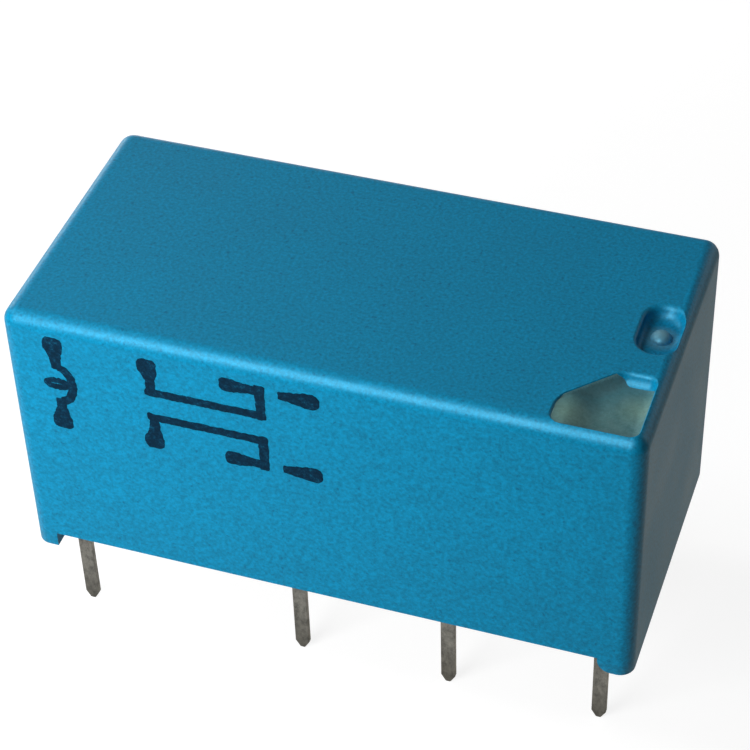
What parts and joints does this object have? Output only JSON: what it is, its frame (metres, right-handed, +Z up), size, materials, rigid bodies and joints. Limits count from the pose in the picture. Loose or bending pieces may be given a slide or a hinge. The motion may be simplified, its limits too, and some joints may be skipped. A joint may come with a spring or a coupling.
{
  "type": "electromechanical relay",
  "caption": "Sealed signal relay with two changeover contacts in a moulded box cover, with flat pins for a circuit board.",
  "frame": {"origin": "middle of the pins' footprint, at the circuit board's surface (the underside of the feet)", "axes": "+X along the cover towards its marked corner and vent, -Y the front, +Z up out of the board"},
  "size_m": [0.0202, 0.0098, 0.0134],
  "materials": {
    "cover_plastic": "moulded, fine grain, satin",
    "mark_paint": "painted, dull",
    "resin": "cast epoxy",
    "base_plastic": "moulded",
    "pin_tin": "tinned sheet",
    "contact_silver": "gilt silver",
    "spring_bronze": "rolled strip",
    "magnet_iron": "nickel plated",
    "bobbin_plastic": "moulded",
    "coil_copper": "enamelled wire",
    "coil_tape": "polyester film",
    "card_plastic": "moulded",
    "staple_steel": "spring wire"
  },
  "bodies": {
    "housing": {"cover": "cover_plastic", "corner_mark": "mark_paint", "sealing_resin": "resin", "base_block": "base_plastic", "coil_terminal_front": "pin_tin", "coil_terminal_rear": "pin_tin", "common_terminal_front": "pin_tin", "common_terminal_rear": "pin_tin", "break_terminal_front": "pin_tin", "break_terminal_rear": "pin_tin", "make_terminal_front": "pin_tin", "make_terminal_rear": "pin_tin", "break_contact_front": "contact_silver", "break_contact_rear": "contact_silver", "make_contact_front": "contact_silver", "make_contact_rear": "contact_silver", "yoke": "magnet_iron", "core": "magnet_iron", "bobbin": "bobbin_plastic", "coil_winding": "coil_copper", "coil_tape": "coil_tape", "coil_lead_front": "coil_copper", "coil_lead_rear": "coil_copper", "hinge_spring": "staple_steel"},
    "armature": {"armature": "magnet_iron", "residual_shim": "spring_bronze", "actuator_card": "card_plastic"},
    "spring_front": {"moving_spring_front": "spring_bronze", "moving_contacts_front": "contact_silver"},
    "spring_rear": {"moving_spring_rear": "spring_bronze", "moving_contacts_rear": "contact_silver"}
  },
  "joints": [
    {"name": "armature_hinge", "type": "hinge", "parent": "housing", "child": "armature", "pos_m": [0.00401, 0, 0.00317], "axis": [0, -1, 0], "range_deg": [0, 6], "stiffness_Nm_per_rad": 0.004, "springref_deg": -5.73},
    {"name": "spring_front_flex", "type": "hinge", "parent": "housing", "child": "spring_front", "pos_m": [-0.00172, -0.00341, 0.00415], "axis": [0, -1, 0], "range_deg": [0, 2.33]},
    {"name": "spring_rear_flex", "type": "hinge", "parent": "housing", "child": "spring_rear", "pos_m": [-0.00172, 0.00341, 0.00415], "axis": [0, -1, 0], "range_deg": [0, 2.33]}
  ],
  "couplings": [
    {"joint": "spring_front_flex", "follows": "armature_hinge", "ratio": 0.38519},
    {"joint": "spring_rear_flex", "follows": "armature_hinge", "ratio": 0.38519}
  ]
}
